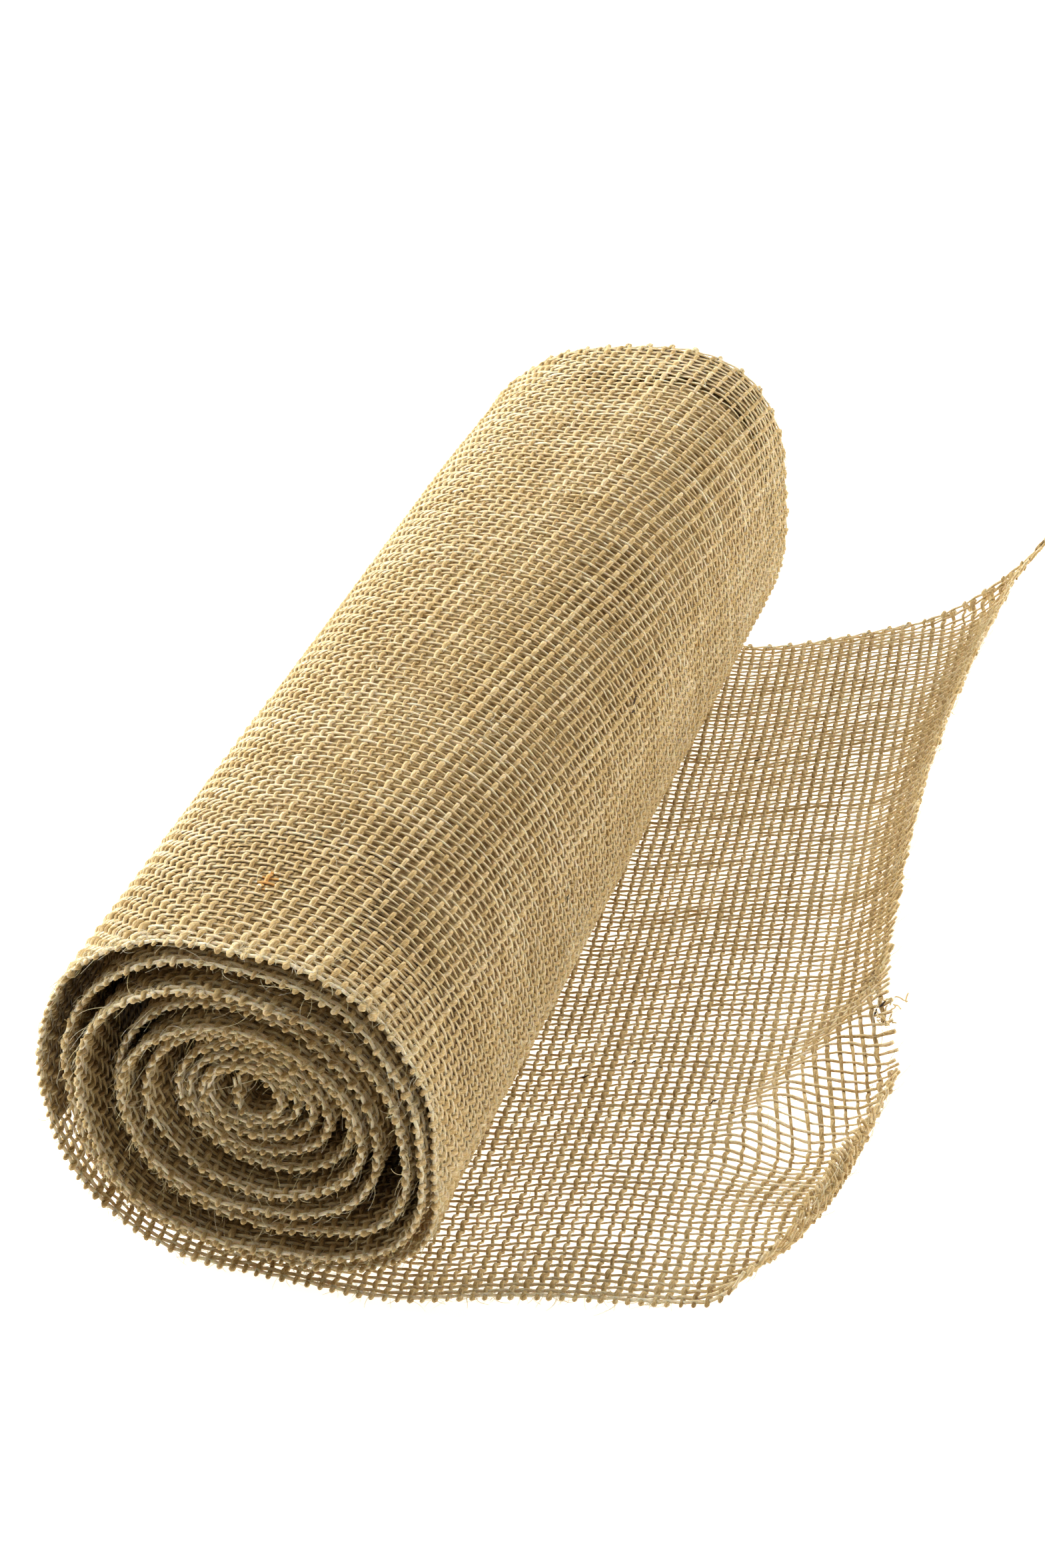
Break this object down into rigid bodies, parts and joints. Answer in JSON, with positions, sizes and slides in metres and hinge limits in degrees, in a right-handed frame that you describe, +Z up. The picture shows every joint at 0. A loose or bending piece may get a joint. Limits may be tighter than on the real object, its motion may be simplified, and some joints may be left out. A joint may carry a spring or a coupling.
{
  "type": "burlap ribbon roll",
  "caption": "Coreless roll of open-weave jute burlap ribbon with woven selvedges, a loosely wound eye and a see-through tail that curls up from the roll.",
  "frame": {"origin": "on the resting surface, under the middle of the roll, half way along its width", "axes": "+Y along the roll towards its back end, +Z up, +X towards the loose tail"},
  "size_m": [0.1873, 0.3001, 0.0986],
  "materials": {
    "burlap": "matte open plain weave of slubby natural jute",
    "selvedge": "matte, denser woven edge with looped weft",
    "loose_yarn_ends": "matte frayed jute fibre"
  },
  "bodies": {
    "outer_wrap": {"turn_01": "burlap", "turn_01_front_selvedge": "selvedge", "turn_01_back_selvedge": "selvedge", "tail_root": "burlap", "tail_root_front_selvedge": "selvedge", "tail_root_back_selvedge": "selvedge"},
    "outer_coil": {"turn_02": "burlap", "turn_02_front_selvedge": "selvedge", "turn_02_back_selvedge": "selvedge", "turn_03": "burlap", "turn_03_front_selvedge": "selvedge", "turn_03_back_selvedge": "selvedge"},
    "middle_coil": {"turn_04": "burlap", "turn_04_front_selvedge": "selvedge", "turn_04_back_selvedge": "selvedge", "turn_05": "burlap", "turn_05_front_selvedge": "selvedge", "turn_05_back_selvedge": "selvedge"},
    "inner_coil": {"turn_06": "burlap", "turn_06_front_selvedge": "selvedge", "turn_06_back_selvedge": "selvedge", "turn_07": "burlap", "turn_07_front_selvedge": "selvedge", "turn_07_back_selvedge": "selvedge", "turn_08": "burlap", "turn_08_front_selvedge": "selvedge", "turn_08_back_selvedge": "selvedge"},
    "core_coil": {"turn_09": "burlap", "turn_09_front_selvedge": "selvedge", "turn_09_back_selvedge": "selvedge", "turn_10": "burlap", "turn_10_front_selvedge": "selvedge", "turn_10_back_selvedge": "selvedge", "start_flap": "burlap", "start_flap_front_selvedge": "selvedge", "start_flap_back_selvedge": "selvedge"},
    "tail_rise": {"tail_rise": "burlap", "tail_rise_front_selvedge": "selvedge", "tail_rise_back_selvedge": "selvedge"},
    "tail_run": {"tail_run": "burlap", "tail_run_front_selvedge": "selvedge", "tail_run_back_selvedge": "selvedge"},
    "tail_end": {"tail_end": "burlap", "tail_end_front_selvedge": "selvedge", "tail_end_back_selvedge": "selvedge", "cut_end_fringe": "loose_yarn_ends"},
    "near_corner": {"near_corner": "burlap"},
    "far_corner": {"far_corner": "burlap"}
  },
  "joints": [
    {"name": "tail_root_bend", "type": "hinge", "parent": "outer_wrap", "child": "tail_rise", "pos_m": [0.026, 0, 0.0006], "axis": [0, -1, 0], "range_deg": [-5, 2], "stiffness_Nm_per_rad": 0.06},
    {"name": "tail_lift", "type": "hinge", "parent": "tail_rise", "child": "tail_run", "pos_m": [0.058, 0, 0.00696], "axis": [0, -1, 0], "range_deg": [-6, 45], "stiffness_Nm_per_rad": 0.04},
    {"name": "tail_curl", "type": "hinge", "parent": "tail_run", "child": "tail_end", "pos_m": [0.086, 0, 0.01498], "axis": [0, -1, 0], "range_deg": [-10, 15], "stiffness_Nm_per_rad": 0.02},
    {"name": "near_corner_fold", "type": "hinge", "parent": "tail_end", "child": "near_corner", "pos_m": [0.1135, -0.1295, 0.02287], "axis": [-0.5943, -0.786, -0.1704], "range_deg": [-10, 50], "stiffness_Nm_per_rad": 0.002},
    {"name": "far_corner_fold", "type": "hinge", "parent": "tail_end", "child": "far_corner", "pos_m": [0.105, 0.1275, 0.02043], "axis": [0.296, -0.9514, 0.0849], "range_deg": [-30, 12], "stiffness_Nm_per_rad": 0.003},
    {"name": "outer_coil_slide", "type": "slide", "parent": "outer_wrap", "child": "outer_coil", "axis": [0, -1, 0], "range_m": [-0.01, 0.02]},
    {"name": "middle_coil_slide", "type": "slide", "parent": "outer_coil", "child": "middle_coil", "axis": [0, -1, 0], "range_m": [-0.01, 0.02]},
    {"name": "inner_coil_slide", "type": "slide", "parent": "middle_coil", "child": "inner_coil", "axis": [0, -1, 0], "range_m": [-0.01, 0.02]},
    {"name": "core_turn", "type": "hinge", "parent": "inner_coil", "child": "core_coil", "pos_m": [0.00315, 0, 0.0548], "axis": [0, 1, 0], "range_deg": [0, 25]}
  ]
}
